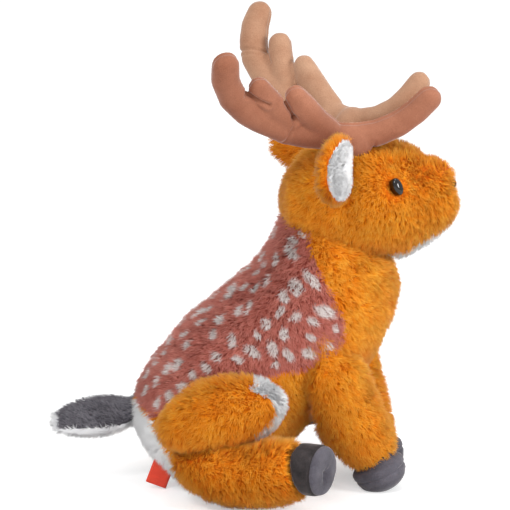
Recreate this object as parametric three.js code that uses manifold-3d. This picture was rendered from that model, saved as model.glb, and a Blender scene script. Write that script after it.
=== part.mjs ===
// A stuffed toy deer that sits upright: millimetres, +Z up, +X the way it faces, +Y its left.
// The origin is on the floor, under the middle of the toy's box.
import * as THREE from "three";
import { mergeVertices } from "three/addons/utils/BufferGeometryUtils.js";
import Module from "manifold-3d";

const wasm = await Module();
wasm.setup();

// Driving dimensions, in millimetres and degrees
const seam = 0.3;
const torso = {
  size: 200,
  width: 112,
  skin: 4,
  neckShares: [0.25, 0.8],
  nod: [-8, 8],
};
const pellets = { length: 76, width: 66, height: 34, placeShares: [-0.14, 0.1] };
const head = { size: 100, width: 86, skin: 4, chinWidth: 42 };
const nose = { width: 14, height: 9, depth: 9, placeShares: [0.75, 0.352] };
const eye = { diameter: 10, height: 4.5, stem: 3, stemLength: 11, washer: 14, washerThickness: 1.5 };
const ear = {
  length: 58,
  width: 45,
  layer: 3.5,
  between: 0.5,
  cup: 20,
  root: 9,
  room: 1.3,
  liningShare: 0.86,
  flap: [-15, 15],
};
const antler = { size: 103, beam: 9.5, tine: 8.5, splay: [-6, 6] };
const frontLeg = { thickness: 50, spread: 38, reach: 38, stagger: 6, tilt: 24, swing: [-8, 8] };
const thigh = { length: 88, height: 51, thickness: 50, trim: 9, trimTurn: 26.5, tilt: 16 };
const foot = { length: 84, thickness: 45, toeOut: 22, rise: 9, splay: [0, 12] };
const hoof = { diameter: 34, length: 15, sole: 3, rim: 1, frontDome: 5.5, hindDome: 1.5, turn: 8 };
const tail = { length: 58, width: 38, thickness: 18, roll: -34, droop: 8, lift: [-20, 25] };
const tab = { width: 11, length: 17, thickness: 1.2, tilt: 16 };

// Counts of faces round the forms
const sides = { torso: 18, head: 16, limb: 12, antler: 8, round: 16, ear: 5 };

// Colours, roughness and pile of the cloths
const cloth = (color, roughness = 0.95) => new THREE.MeshStandardMaterial({ color, roughness, metalness: 0 });
const orange = cloth("#d68a2c");
const saddle = cloth("#8a5a52");
const white = cloth("#ecebee");
const velour = cloth("#bd7f63", 0.85);
const hoofPile = cloth("#3a3a42");
const soleVelour = cloth("#66646e", 0.85);
const tailPile = cloth("#6b6a70");
const filling = cloth("#f4f2ec");
const bag = cloth("#d9d4c8");
const glossBlack = cloth("#0b0908", 0.12);
const thread = cloth("#4a2a20", 0.7);
const moulded = cloth("#f0f0ea", 0.5);
const ribbon = cloth("#d8402a", 0.8);

const deer = new THREE.Group();
const point = (x, y, z) => new THREE.Vector3(x, y, z);
const radians = THREE.MathUtils.degToRad;
const axisX = point(1, 0, 0);
const axisY = point(0, 1, 0);
const axisZ = point(0, 0, 1);

// A closed geometry as a solid with its faces pointing out
function asSolid(form) {
  if (!form.isBufferGeometry) return form;
  const bare = form.clone();
  bare.deleteAttribute("normal");
  bare.deleteAttribute("uv");
  const merged = mergeVertices(bare);
  const make = (triVerts) => {
    const vertProperties = new Float32Array(merged.attributes.position.array);
    return new wasm.Manifold(new wasm.Mesh({ numProp: 3, vertProperties, triVerts }));
  };
  const faces = new Uint32Array(merged.index.array);
  const made = make(faces);
  return made.volume() < 0 ? make(faces.slice().reverse()) : made;
}

const joined = (...forms) => forms.map(asSolid).reduce((sum, form) => sum.add(form));
const cut = (form, ...tools) => tools.flat().reduce((left, tool) => left.subtract(asSolid(tool)), asSolid(form));
const common = (...forms) => forms.map(asSolid).reduce((left, form) => left.intersect(form));

// A solid as a closed geometry again
function asGeometry(solid) {
  const { numProp, vertProperties, triVerts, numVert } = solid.getMesh();
  const places = new Float32Array(numVert * 3);
  for (let i = 0; i < numVert; i++) places.set(vertProperties.subarray(i * numProp, i * numProp + 3), i * 3);
  const geometry = new THREE.BufferGeometry();
  geometry.setAttribute("position", new THREE.BufferAttribute(places, 3));
  return geometry.setIndex(new THREE.BufferAttribute(new Uint32Array(triVerts), 1));
}

function addPiece(name, form, material) {
  const flat = asGeometry(asSolid(form)).toNonIndexed();
  flat.computeVertexNormals();
  const mesh = new THREE.Mesh(flat, material);
  mesh.name = name;
  deer.add(mesh);
  return mesh;
}

// A form turned about a line through a pivot, by degrees
function turned(form, pivot, axis, degrees) {
  const turn = new THREE.Matrix4().makeRotationAxis(axis, radians(degrees));
  const out = new THREE.Matrix4().makeTranslation(-pivot.x, -pivot.y, -pivot.z);
  const back = new THREE.Matrix4().makeTranslation(pivot.x, pivot.y, pivot.z);
  return form.clone().applyMatrix4(back.multiply(turn).multiply(out));
}

// The places that a fixed form takes, seen from a piece that moves through its range
const seenThrough = (form, pivot, axis, range) =>
  [range[0], 0, range[1]].map((degrees) => turned(form, pivot, axis, -degrees));

// A closed form through rings of points, all with as many points
function loft(rings) {
  const count = rings[0].length;
  const points = rings.flat();
  const middle = (ring) => ring.reduce((sum, p) => sum.add(p), point(0, 0, 0)).divideScalar(count);
  const startHub = points.length;
  const endHub = startHub + 1;
  const lastRing = (rings.length - 1) * count;
  const faces = [];
  for (let i = 0; i < count; i++) {
    const next = (i + 1) % count;
    faces.push(startHub, next, i, endHub, lastRing + i, lastRing + next);
    for (let base = 0; base < lastRing; base += count) {
      faces.push(base + i, base + next, base + count + i);
      faces.push(base + next, base + count + next, base + count + i);
    }
  }
  points.push(middle(rings[0]), middle(rings.at(-1)));
  const geometry = new THREE.BufferGeometry().setFromPoints(points);
  return geometry.setIndex(faces);
}

// A station is a ring's middle and its two half axes. This grows or shrinks a run of them on all sides.
function grown(stations, amount) {
  const last = stations.length - 1;
  const lengthen = (half) => half.clone().setLength(Math.max(half.length() + amount, half.length() / 4));
  return stations.map(({ middle, deep, wide }, i) => {
    const along = stations[Math.min(i + 1, last)].middle.clone().sub(stations[Math.max(i - 1, 0)].middle);
    const push = i === 0 ? -amount : i === last ? amount : 0;
    const moved = middle.clone().addScaledVector(along.normalize(), push);
    return { middle: moved, deep: lengthen(deep), wide: lengthen(wide) };
  });
}

const ringPoint = ({ middle, deep, wide }, angle) =>
  middle.clone().addScaledVector(deep, Math.cos(angle)).addScaledVector(wide, Math.sin(angle));

function softForm(stations, count, amount = 0) {
  const turn = (2 * Math.PI) / count;
  const rings = grown(stations, amount).map((station) =>
    Array.from({ length: count }, (_, i) => ringPoint(station, (i + 1 / 2) * turn)),
  );
  return loft(rings);
}

// Stations across the middle plane, from pairs of outline points given as shares of a size
function outlineStations(shares, size, width, origin) {
  return shares.map(([x1, z1, x2, z2, wideShare]) => {
    const a = point(x1 * size, 0, z1 * size).add(origin);
    const b = point(x2 * size, 0, z2 * size).add(origin);
    return {
      middle: a.clone().add(b).divideScalar(2),
      deep: a.clone().sub(b).divideScalar(2),
      wide: point(0, (wideShare * width) / 2, 0),
    };
  });
}

// Stations along a curve through places, each with its own radius share and its flatness across
function tubeStations(places, radius, radiusShares, flatShares, upright = axisZ) {
  const curve = new THREE.CatmullRomCurve3(places);
  return radiusShares.map((share, i) => {
    const along = i / (radiusShares.length - 1);
    const tangent = curve.getTangent(along);
    const wide = upright.clone().cross(tangent).normalize();
    const deep = tangent.clone().cross(wide).normalize();
    const flat = flatShares ? flatShares[i] : 1;
    return {
      middle: curve.getPoint(along),
      deep: deep.multiplyScalar(share * flat * radius),
      wide: wide.multiplyScalar(share * radius),
    };
  });
}

// A prism across the toy, from its side outline in shares of a size
function sidePrism(shares, size, width, origin) {
  const shape = new THREE.Shape(shares.map(([x, z]) => new THREE.Vector2(x * size, z * size)));
  const geometry = new THREE.ExtrudeGeometry(shape, { depth: width, bevelEnabled: false });
  geometry.translate(0, 0, -width / 2).rotateX(Math.PI / 2);
  return geometry.translate(origin.x, origin.y, origin.z);
}

// The same prism with the seam's clearance added round its outline
function widerPrism(shares, size, width, origin) {
  const shifts = [axisX, axisZ].flatMap((axis) => [axis.clone().setLength(seam), axis.clone().setLength(-seam)]);
  const nearby = shifts.map((shift) => sidePrism(shares, size, width + 2 * seam, origin.clone().add(shift)));
  return joined(sidePrism(shares, size, width + 2 * seam, origin), ...nearby);
}

function disc(radius, length, middle, direction, count = sides.round) {
  const geometry = new THREE.CylinderGeometry(radius, radius, length, count);
  const turn = new THREE.Quaternion().setFromUnitVectors(axisY, direction);
  return geometry.applyQuaternion(turn).translate(middle.x, middle.y, middle.z);
}

function slab(middle, normal, side) {
  const reach = torso.size * 2;
  const geometry = new THREE.BoxGeometry(reach, reach, reach);
  const turn = new THREE.Quaternion().setFromUnitVectors(axisZ, normal);
  const shift = normal.clone().multiplyScalar(side * (reach / 2 + seam / 2));
  return geometry.applyQuaternion(turn).translate(...middle.clone().add(shift).toArray());
}

const floorBlock = slab(point(0, 0, seam / 2), axisZ, -1);
const ground = point(0, 0, 0);

// Torso: outline pairs along the spine, back point then front point, and the width there
const torsoShares = [
  [-0.335, 0.085, -0.225, 0.0, 0.34],
  [-0.382, 0.165, -0.1, -0.006, 0.76],
  [-0.4, 0.25, -0.01, 0.004, 0.95],
  [-0.36, 0.38, 0.09, 0.1, 1.0],
  [-0.25, 0.52, 0.19, 0.21, 0.99],
  [-0.145, 0.612, 0.305, 0.31, 0.96],
  [-0.04, 0.7, 0.402, 0.44, 0.93],
  [0.02, 0.765, 0.442, 0.545, 0.89],
  [0.058, 0.83, 0.458, 0.64, 0.8],
  [0.078, 0.885, 0.444, 0.725, 0.7],
  [0.13, 0.915, 0.4, 0.79, 0.52],
  [0.21, 0.92, 0.32, 0.865, 0.22],
];
const torsoStations = outlineStations(torsoShares, torso.size, torso.width, ground);
const torsoForm = (amount = 0) => softForm(torsoStations, sides.torso, amount);
const neck = point(torso.neckShares[0] * torso.size, 0, torso.neckShares[1] * torso.size);

// The saddle's side outline and the white seat's, as shares of the torso's size
const saddleShares = [
  [0.02, 1.1], [0.155, 0.86], [0.194, 0.74], [0.225, 0.688], [0.27, 0.608], [0.28, 0.555], [0.277, 0.509],
  [0.238, 0.475], [0.199, 0.442], [0.109, 0.428], [0.017, 0.409], [-0.105, 0.388], [-0.242, 0.323],
  [-0.333, 0.263], [-0.37, 0.29], [-0.6, 0.33], [-0.6, 1.1],
];
const rumpShares = [
  [-0.6, 0.325], [-0.372, 0.285], [-0.334, 0.258], [-0.29, 0.17], [-0.245, 0.1], [-0.15, 0.075], [0.06, 0.07],
  [0.06, -0.1], [-0.6, -0.1],
];

function makeTorso() {
  const across = torso.width * 2;
  const inside = torsoForm(-torso.skin);
  const shell = cut(torsoForm(), inside, floorBlock);
  const saddleBlock = sidePrism(saddleShares, torso.size, across, ground);
  const rumpBlock = sidePrism(rumpShares, torso.size, across, ground);
  const widerSaddle = widerPrism(saddleShares, torso.size, across, ground);
  const widerRump = widerPrism(rumpShares, torso.size, across, ground);
  addPiece("back_panel", common(shell, saddleBlock), saddle);
  addPiece("rump_panel", cut(common(shell, rumpBlock), widerSaddle), white);
  addPiece("chest_panel", cut(shell, widerSaddle, widerRump), orange);
  const room = torsoForm(-torso.skin - seam);
  const bagPlace = point(pellets.placeShares[0] * torso.size, 0, pellets.placeShares[1] * torso.size);
  const bagForm = (amount) =>
    new THREE.SphereGeometry(1 / 2, sides.limb, sides.limb / 2)
      .scale(pellets.length + amount, pellets.width + amount, pellets.height + amount)
      .translate(...bagPlace.toArray());
  addPiece("pellet_bag", common(bagForm(0), torsoForm(-torso.skin - seam)), bag);
  addPiece("body_stuffing", cut(room, bagForm(2 * seam)), filling);
}

// Head: outline pairs from the nape to the muzzle, top point then bottom point, measured from the neck
const headShares = [
  [-0.34, 0.3, -0.34, 0.13, 0.24],
  [-0.3, 0.46, -0.3, 0.0, 0.56],
  [-0.18, 0.59, -0.18, -0.08, 0.8],
  [-0.02, 0.665, -0.02, -0.12, 0.96],
  [0.16, 0.685, 0.16, -0.14, 1.0],
  [0.34, 0.665, 0.34, -0.14, 0.95],
  [0.48, 0.615, 0.47, -0.12, 0.83],
  [0.6, 0.535, 0.58, -0.055, 0.67],
  [0.715, 0.495, 0.675, 0.02, 0.53],
  [0.764, 0.415, 0.75, 0.09, 0.41],
  [0.8, 0.3, 0.805, 0.18, 0.2],
];
const headStations = outlineStations(headShares, head.size, head.width, neck);
const headForm = (amount = 0) => softForm(headStations, sides.head, amount);
const torsoSeenByHead = (amount) => seenThrough(torsoForm(amount), neck, axisY, torso.nod);
const chinShares = [
  [0.85, 0.2], [0.79, 0.13], [0.7, 0.06], [0.58, 0.0], [0.46, -0.065], [0.3, -0.09], [0.1, -0.1],
  [0.1, -0.3], [0.85, -0.3],
];

// A place on the head's surface, by its station, its angle from the top and the way out of the skin there
function onHead(stationPlace, degrees, side) {
  const i = Math.floor(stationPlace);
  const at = (angle, place) => {
    const [a, b] = [Math.floor(place), Math.min(Math.floor(place) + 1, headStations.length - 1)];
    const first = ringPoint(headStations[a], angle);
    return first.lerp(ringPoint(headStations[b], angle), place - a);
  };
  const angle = side * radians(degrees);
  const small = 1 / 20;
  const round = at(angle + small, stationPlace).sub(at(angle - small, stationPlace));
  const along = at(angle, i + 1).sub(at(angle, i));
  const out = round.cross(along).normalize();
  const place = at(angle, stationPlace);
  const middle = headStations[i].middle;
  if (out.dot(place.clone().sub(middle)) < 0) out.negate();
  return { place, out };
}

const eyeShares = { station: 5.36, degrees: 68 };
const bothSides = [["left", 1], ["right", -1]];

function eyeForms(side) {
  const { place, out } = onHead(eyeShares.station, eyeShares.degrees, side);
  const along = (distance) => place.clone().addScaledVector(out, distance);
  const dome = (amount) => {
    const ball = new THREE.SphereGeometry(1 / 2, sides.limb, sides.limb / 2);
    const turn = new THREE.Quaternion().setFromUnitVectors(axisZ, out);
    ball.scale(eye.diameter + amount, eye.diameter + amount, eye.height * 2 + amount);
    return ball.applyQuaternion(turn).translate(...place.toArray());
  };
  const stem = (amount) => disc((eye.stem + amount) / 2, eye.stemLength, along(-eye.stemLength / 2), out, sides.antler);
  const skinSag = eye.washer ** 2 / (3 * head.width);
  const washerDepth = head.skin + skinSag + seam + eye.washerThickness / 2;
  const washer = (amount, length) => {
    const outward = length - eye.washerThickness;
    return disc((eye.washer + amount) / 2, length, along(outward / 2 - washerDepth - seam), out, sides.limb);
  };
  return { dome, stem, washer };
}

function makeHead() {
  const clear = torsoSeenByHead(seam);
  const inside = headForm(-head.skin);
  const shell = cut(headForm(), inside, clear);
  const chinBlock = sidePrism(chinShares, head.size, head.chinWidth, neck);
  const widerChin = widerPrism(chinShares, head.size, head.chinWidth, neck);
  const eyes = bothSides.map(([name, side]) => ({ name, ...eyeForms(side) }));
  const sockets = eyes.flatMap(({ dome, stem }) => [dome(2 * seam), stem(2 * seam)]);
  const pockets = eyes.flatMap(({ washer, stem }) => [washer(2 * seam, eye.washerThickness * 4), stem(2 * seam)]);
  addPiece("head_panel", cut(shell, widerChin, sockets), orange);
  addPiece("chin_panel", common(shell, chinBlock), white);
  const room = headForm(-head.skin - seam);
  addPiece("head_stuffing", cut(room, clear, pockets), filling);
  for (const { name, dome, stem, washer } of eyes) {
    addPiece("eye_" + name, joined(dome(0), stem(0)), glossBlack);
    const ring = cut(washer(0, eye.washerThickness), stem(2 * seam));
    addPiece("eye_washer_" + name, ring, moulded);
  }
  const [noseX, noseZ] = nose.placeShares.map((share) => share * head.size);
  const noseForm = new THREE.SphereGeometry(1 / 2, sides.limb, sides.limb / 2);
  noseForm.scale(nose.depth, nose.width, nose.height).translate(neck.x + noseX, 0, neck.z + noseZ);
  addPiece("nose", cut(noseForm, headForm(seam)), thread);
}

// Ears: cupped leaves of two layers, placed by the way each one points
const earWidthShares = [0.5, 0.8, 0.97, 1, 0.97, 0.87, 0.68, 0.38];
const earPlaces = {
  left: { station: 3.5, degrees: 58, point: [-0.82, 0.56, 0.06], open: [0.56, 0.82, 0.05] },
  right: { station: 3.5, degrees: 51, point: [-0.36, 0.92, 0.12], open: [0.86, 0.42, 0.0] },
};

function earLayer(root, pointing, opening, near, far, widthShare) {
  const across = pointing.clone().cross(opening).normalize();
  const half = sides.ear;
  const rings = earWidthShares.map((share, i) => {
    const along = i / (earWidthShares.length - 1);
    const middle = root.clone().addScaledVector(pointing, along * ear.length);
    const reach = (share * widthShare * ear.width) / 2;
    const arc = (offset) =>
      Array.from({ length: half + 1 }, (_, j) => {
        const angle = ((j / half) * 2 - 1) * (reach / ear.cup);
        const radius = ear.cup + offset;
        return middle
          .clone()
          .addScaledVector(across, radius * Math.sin(angle))
          .addScaledVector(opening, ear.cup - radius * Math.cos(angle));
      });
    return [...arc(near), ...arc(far).reverse()];
  });
  return loft(rings);
}

function earFrame(name, side) {
  const { station, degrees, point: points, open } = earPlaces[name];
  const { place, out } = onHead(station, degrees, side);
  const pointing = point(points[0], side * points[1], points[2]).normalize();
  const facing = point(open[0], side * open[1], open[2]);
  const opening = facing.addScaledVector(pointing, -facing.dot(pointing)).normalize();
  const root = place.clone().addScaledVector(out, -ear.root / 2);
  const axis = pointing.clone().cross(opening).normalize();
  return { place, root, pointing, opening, axis };
}

function makeEar(name, side, antlerNearby) {
  const { place, root, pointing, opening, axis } = earFrame(name, side);
  const clear = seenThrough(headForm(seam), place, axis, ear.flap);
  const back = earLayer(root, pointing, opening, seam, ear.layer, 1);
  const lining = earLayer(root, pointing, opening, -ear.layer, -ear.between, ear.liningShare);
  const keepOff = seenThrough(antlerNearby, place, axis, ear.flap);
  addPiece("ear_back_" + name, cut(back, clear, keepOff), orange);
  addPiece("ear_lining_" + name, cut(lining, clear, keepOff), white);
}

// Antlers: a flat pattern in shares, two faces sewn edge to edge and stuffed
const beamShares = [
  [-0.02, -0.14], [-0.02, 0.03], [-0.14, 0.055], [-0.3, 0.096], [-0.476, 0.191], [-0.646, 0.349], [-0.761, 0.527],
  [-0.79, 0.7], [-0.785, 0.82],
];
const browShares = [[-0.08, 0.03], [0.06, 0.03], [0.21, 0.045], [0.37, 0.08], [0.465, 0.16], [0.525, 0.25]];
const tineShares = [
  [[-0.12, 0.07], [-0.21, 0.19], [-0.295, 0.306], [-0.372, 0.465]],
  [[-0.34, 0.17], [-0.43, 0.31], [-0.51, 0.41], [-0.6, 0.56]],
];
const beamRadiusShares = [1.3, 1.25, 1.08, 1, 1, 1, 1, 0.97, 0.92, 0.5];
const browRadiusShares = [0.5, 1, 1, 1, 1, 0.95, 0.5];
const tineRadiusShares = [0.8, 1.05, 1.05, 0.95, 0.5];
const antlerPlaces = {
  left: { yaw: 26.5, pitch: 8, tilt: 33, lift: 7 },
  right: { yaw: 13, pitch: 8, tilt: 29, lift: 4 },
};
const antlerStation = 3.75;
const antlerDegrees = 26;

function antlerFrame(name, side) {
  const { yaw, pitch, tilt, lift } = antlerPlaces[name];
  const { place } = onHead(antlerStation, antlerDegrees, side);
  place.addScaledVector(axisZ, lift);
  const forward = axisX.clone().applyAxisAngle(axisY, radians(-pitch)).applyAxisAngle(axisZ, radians(-side * yaw));
  const up = axisZ.clone().applyAxisAngle(axisX, radians(-side * tilt));
  const normal = forward.clone().cross(up).normalize();
  const rise = normal.clone().cross(forward).normalize();
  return { place, forward, rise, normal };
}

function antlerForm(name, side, amount = 0) {
  const { place, forward, rise, normal } = antlerFrame(name, side);
  const at = ([u, v]) =>
    place.clone().addScaledVector(forward, u * antler.size).addScaledVector(rise, v * antler.size);
  const limb = (shares, radius, radiusShares) => softForm(
    tubeStations(shares.map(at), radius, radiusShares, null, normal), sides.antler, amount,
  );
  const beam = limb(beamShares, antler.beam, beamRadiusShares);
  const brow = limb(browShares, antler.beam, browRadiusShares);
  const tines = tineShares.map((shares) => limb(shares, antler.tine, tineRadiusShares));
  return joined(beam, brow, ...tines);
}

function makeAntler(name, side) {
  const { place, forward, normal } = antlerFrame(name, side);
  const clear = seenThrough(headForm(seam), place, forward, antler.splay);
  const whole = cut(antlerForm(name, side), clear);
  const outward = normal.y * side > 0 ? 1 : -1;
  addPiece("antler_outer_" + name, common(whole, slab(place, normal, outward)), velour);
  addPiece("antler_inner_" + name, common(whole, slab(place, normal, -outward)), velour);
}

// Front legs: from the shoulder forward and down to the hooves
const shoulderShares = { x: 0.2175, z: 0.5, y: 0.58 };
const kneeShare = 0.11;
const frontRadiusShares = [0.62, 1, 1.08, 1.06, 1.02, 0.98, 0.9, 0.72];

function frontLegLine(side) {
  const stagger = (side * frontLeg.stagger) / 2;
  const shoulder = point(
    shoulderShares.x * torso.size + stagger, (side * shoulderShares.y * torso.width) / 2, shoulderShares.z * torso.size,
  );
  const down = axisZ.clone().negate().applyAxisAngle(axisY, radians(-frontLeg.tilt));
  const tilt = radians(frontLeg.tilt);
  const soleHeight = Math.hypot((hoof.diameter / 2) * Math.sin(tilt), hoof.frontDome * Math.cos(tilt));
  const soleMiddle = point(
    shoulderShares.x * torso.size + frontLeg.reach, (side * frontLeg.spread) / 2, soleHeight,
  );
  const ankle = soleMiddle.clone().addScaledVector(down, -hoof.length - hoof.sole);
  return { shoulder, ankle, soleMiddle, down };
}

// A hoof's wall, and the sole sewn into its end, which swells out by the dome's height
function hoofPieces(prefix, name, soleMiddle, outDirection, dome, keepOff) {
  const radius = hoof.diameter / 2;
  const along = (distance) => soleMiddle.clone().addScaledVector(outDirection, distance);
  const wall = disc(radius, hoof.length, along(-hoof.sole - hoof.length / 2), outDirection);
  const flat = disc(radius - hoof.rim, hoof.sole - seam, along((seam - hoof.sole) / 2), outDirection);
  const swell = new THREE.SphereGeometry(radius - hoof.rim, sides.round, sides.round / 2);
  swell.scale(1, dome / (radius - hoof.rim), 1);
  swell.applyQuaternion(new THREE.Quaternion().setFromUnitVectors(axisY, outDirection));
  swell.translate(...soleMiddle.toArray());
  const outside = slab(along(seam / 2 - hoof.sole), outDirection, 1);
  addPiece(prefix + "_hoof_" + name, cut(wall, keepOff), hoofPile);
  addPiece(prefix + "_sole_" + name, cut(joined(flat, common(swell, outside)), floorBlock), soleVelour);
}

function makeFrontLeg(name, side) {
  const { shoulder, ankle, soleMiddle, down } = frontLegLine(side);
  const knee = shoulder.clone().lerp(ankle, 1 / 2).addScaledVector(axisX, -kneeShare * frontLeg.thickness);
  const stations = (amount = 0) => softForm(
    tubeStations([shoulder, knee, ankle], frontLeg.thickness / 2, frontRadiusShares, null, axisX), sides.limb, amount,
  );
  const clear = seenThrough(torsoForm(seam), shoulder, axisY, frontLeg.swing);
  const other = slab(point(0, (side * seam) / 2, 0), axisY, -side);
  addPiece("front_leg_" + name, cut(stations(), clear, other, floorBlock), orange);
  hoofPieces("front", name, soleMiddle, down, hoof.frontDome, [stations(seam), other, floorBlock]);
}

// Hind legs: a folded haunch beside the seat, and a lower leg that lies forward on the floor
const thighShares = { x: -0.105, z: 0.2925, y: 1.03 };
const heelShares = { x: -0.25, z: 0.165, y: 0.93 };
const footRadiusShares = [0.5, 0.86, 0.97, 1, 1, 1, 0.9];

function hindLegLine(side) {
  const thighMiddle = point(
    thighShares.x * torso.size, (side * thighShares.y * torso.width) / 2, thighShares.z * torso.size,
  );
  const radius = foot.thickness / 2;
  const heel = point(heelShares.x * torso.size, (side * heelShares.y * torso.width) / 2, heelShares.z * torso.size);
  const direction = axisX.clone().applyAxisAngle(axisZ, radians(side * foot.toeOut));
  const arch = point(heel.x, heel.y, radius).addScaledVector(direction, foot.length / 2);
  const ankle = point(heel.x, heel.y, radius + foot.rise).addScaledVector(direction, foot.length);
  const toe = direction.clone().applyAxisAngle(axisZ, radians(side * hoof.turn));
  const soleMiddle = ankle.clone().addScaledVector(toe, hoof.length + hoof.sole);
  return { thighMiddle, heel, arch, ankle, soleMiddle, toe };
}

function makeHindLeg(name, side) {
  const { thighMiddle, heel, arch, ankle, soleMiddle, toe } = hindLegLine(side);
  const hip = point(heel.x, (side * torso.width) / 2, thighMiddle.z);
  const clear = seenThrough(torsoForm(seam), hip, axisZ, foot.splay.map((degrees) => side * degrees));
  const egg = (amount = 0) =>
    new THREE.SphereGeometry(1 / 2, sides.head, sides.limb)
      .rotateX(Math.PI / 2)
      .scale(thigh.length + 2 * amount, thigh.thickness + 2 * amount, thigh.height + 2 * amount)
      .rotateY(radians(-thigh.tilt))
      .translate(...thighMiddle.toArray());
  const trimNormal = axisY.clone().multiplyScalar(side).applyAxisAngle(axisZ, radians(side * thigh.trimTurn));
  const trimPlace = thighMiddle.clone().add(point(thigh.length / 2 - thigh.trim, 0, 0));
  const haunch = cut(egg(), clear);
  addPiece("hind_thigh_" + name, common(haunch, slab(trimPlace, trimNormal, 1)), orange);
  addPiece("thigh_trim_" + name, common(haunch, slab(trimPlace, trimNormal, -1)), white);
  const lowerLeg = (amount = 0) => softForm(
    tubeStations([heel, arch, ankle], foot.thickness / 2, footRadiusShares, null, axisZ), sides.limb, amount,
  );
  addPiece("hind_foot_" + name, cut(lowerLeg(), clear, egg(seam), floorBlock), orange);
  hoofPieces("hind", name, soleMiddle, toe, hoof.hindDome, [lowerLeg(seam), floorBlock]);
}

// Tail: a flat leaf of two cloths, rolled a little to one side
const tailRootShares = [-0.375, 0.235];
const tailWideShares = [0.6, 0.84, 0.98, 1, 0.93, 0.76, 0.42];
const tailDeepShares = [1.1, 1.1, 1, 0.95, 0.9, 0.85, 0.8];

function makeTail() {
  const root = point(tailRootShares[0] * torso.size, 0, tailRootShares[1] * torso.size);
  const direction = axisX.clone().negate().applyAxisAngle(axisY, radians(-tail.droop));
  const upright = axisZ.clone().applyAxisAngle(direction, radians(tail.roll));
  const places = [0, 1 / 2, 1].map((share) => root.clone().addScaledVector(direction, share * tail.length));
  const flatShares = tailDeepShares.map((share) => (share * tail.thickness) / tail.width);
  const leaf = softForm(tubeStations(places, tail.width / 2, tailWideShares, flatShares, upright), sides.limb);
  const clear = seenThrough(torsoForm(seam), root, axisY, tail.lift);
  const whole = cut(leaf, clear);
  addPiece("tail_top", common(whole, slab(root, upright, 1)), tailPile);
  addPiece("tail_underside", common(whole, slab(root, upright, -1)), white);
}

// A bare woven tab in the seat's seam
const tabShares = { x: -0.302, z: 0.054, y: -0.3 };

function makeTab() {
  const form = new THREE.BoxGeometry(tab.width, tab.thickness, tab.length);
  form.rotateY(radians(tab.tilt));
  form.translate(tabShares.x * torso.size, (tabShares.y * torso.width) / 2, tabShares.z * torso.size);
  addPiece("side_label", cut(form, torsoForm(seam), floorBlock), ribbon);
}

makeTorso();
makeHead();
for (const [name, side] of bothSides) {
  const antlerNearby = asGeometry(antlerForm(name, side, ear.room));
  makeAntler(name, side);
  makeEar(name, side, antlerNearby);
  makeFrontLeg(name, side);
  makeHindLeg(name, side);
}
makeTail();
makeTab();

export default deer;
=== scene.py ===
# Looks of a sitting plush deer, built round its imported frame. Metres, +Z up, +X the way it faces.
import math
from collections import namedtuple
from functools import cache, partial

import bpy
import numpy as np
from mathutils import Matrix, Vector
from mathutils.bvhtree import BVHTree
from mathutils.kdtree import KDTree


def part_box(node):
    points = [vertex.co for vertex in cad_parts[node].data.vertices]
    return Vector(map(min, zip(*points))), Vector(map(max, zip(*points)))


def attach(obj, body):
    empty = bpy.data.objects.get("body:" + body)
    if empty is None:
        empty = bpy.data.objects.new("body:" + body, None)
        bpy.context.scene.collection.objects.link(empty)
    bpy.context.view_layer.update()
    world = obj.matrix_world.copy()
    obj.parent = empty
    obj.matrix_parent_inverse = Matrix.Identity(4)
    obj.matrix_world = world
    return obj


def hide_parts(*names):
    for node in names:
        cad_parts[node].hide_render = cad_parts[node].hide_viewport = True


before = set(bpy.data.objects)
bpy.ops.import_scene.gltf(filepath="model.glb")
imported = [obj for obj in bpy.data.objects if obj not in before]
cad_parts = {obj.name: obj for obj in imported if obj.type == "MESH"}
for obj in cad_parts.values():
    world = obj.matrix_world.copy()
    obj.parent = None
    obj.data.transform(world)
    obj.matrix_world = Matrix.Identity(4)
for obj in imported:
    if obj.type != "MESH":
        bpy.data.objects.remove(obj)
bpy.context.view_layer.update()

MM = 0.001
SIDES = {"left": 1, "right": -1}
NO_TURN = Matrix.Identity(3)


def mirrored(x, y, z):
    """A place or a way on each side of the toy, from the left one."""
    return {side: np.array([x, y * sign, z]) for side, sign in SIDES.items()}


NECK = np.array([0.05, 0, 0.16])
EYE = mirrored(0.08893, 0.03615, 0.20032)
EYE_OUT = mirrored(0.5003, 0.8005, 0.3302)
NOSE = np.array([0.125, 0, 0.1952])
NOSE_OUT = np.array([0.97, 0, 0.22])
# Each antler's root and the way it rises
ANTLER = {
    "left": (np.array([0.0615, 0.01866, 0.23088]), np.array([0.12, 0.49, 0.865])),
    "right": (np.array([0.0615, -0.01866, 0.22788]), np.array([-0.013, -0.488, 0.873])),
}
# Each ear's root, ways and sizes, the share of its length that its lining reaches, and its bend's radius
Ear = namedtuple("Ear", "root pointing opening length width lining bend")
EAR = {
    "left": Ear(np.array([0.059, 0.033, 0.209]), np.array([-0.8243, 0.5629, 0.0603]),
                np.array([0.5658, 0.8231, 0.0501]), 57 * MM, 40 * MM, 0.85, 34 * MM),
    "right": Ear(np.array([0.0575, -0.034, 0.2128]), np.array([-0.34, -0.9381, 0.0658]),
                 np.array([0.9402, -0.3407, 0.0]), 48 * MM, 41 * MM, 0.94, 60 * MM),
}
SHOULDER = {"left": np.array([0.0465, 0.03248, 0.1]), "right": np.array([0.0405, -0.03248, 0.1])}
LEG_DOWN = np.array([0.407, 0, -0.9135])
THIGH = mirrored(-0.021, 0.0577, 0.0585)
FOOT = mirrored(-0.02, 0.063, 0.0265)
FRONT_SOLE = mirrored(0.0815, 0.019, 0.00855)
HIND_SOLE = mirrored(0.04347, 0.09255, 0.0315)
HIND_SOLE_OUT = mirrored(0.866, 0.5, 0)
TAIL_ROOT = np.array([-0.075, 0, 0.047])
TAIL_OUT = np.array([-0.99, 0, -0.139])
TAIL_UP = np.array([-0.139, 0, 0.99])


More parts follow.
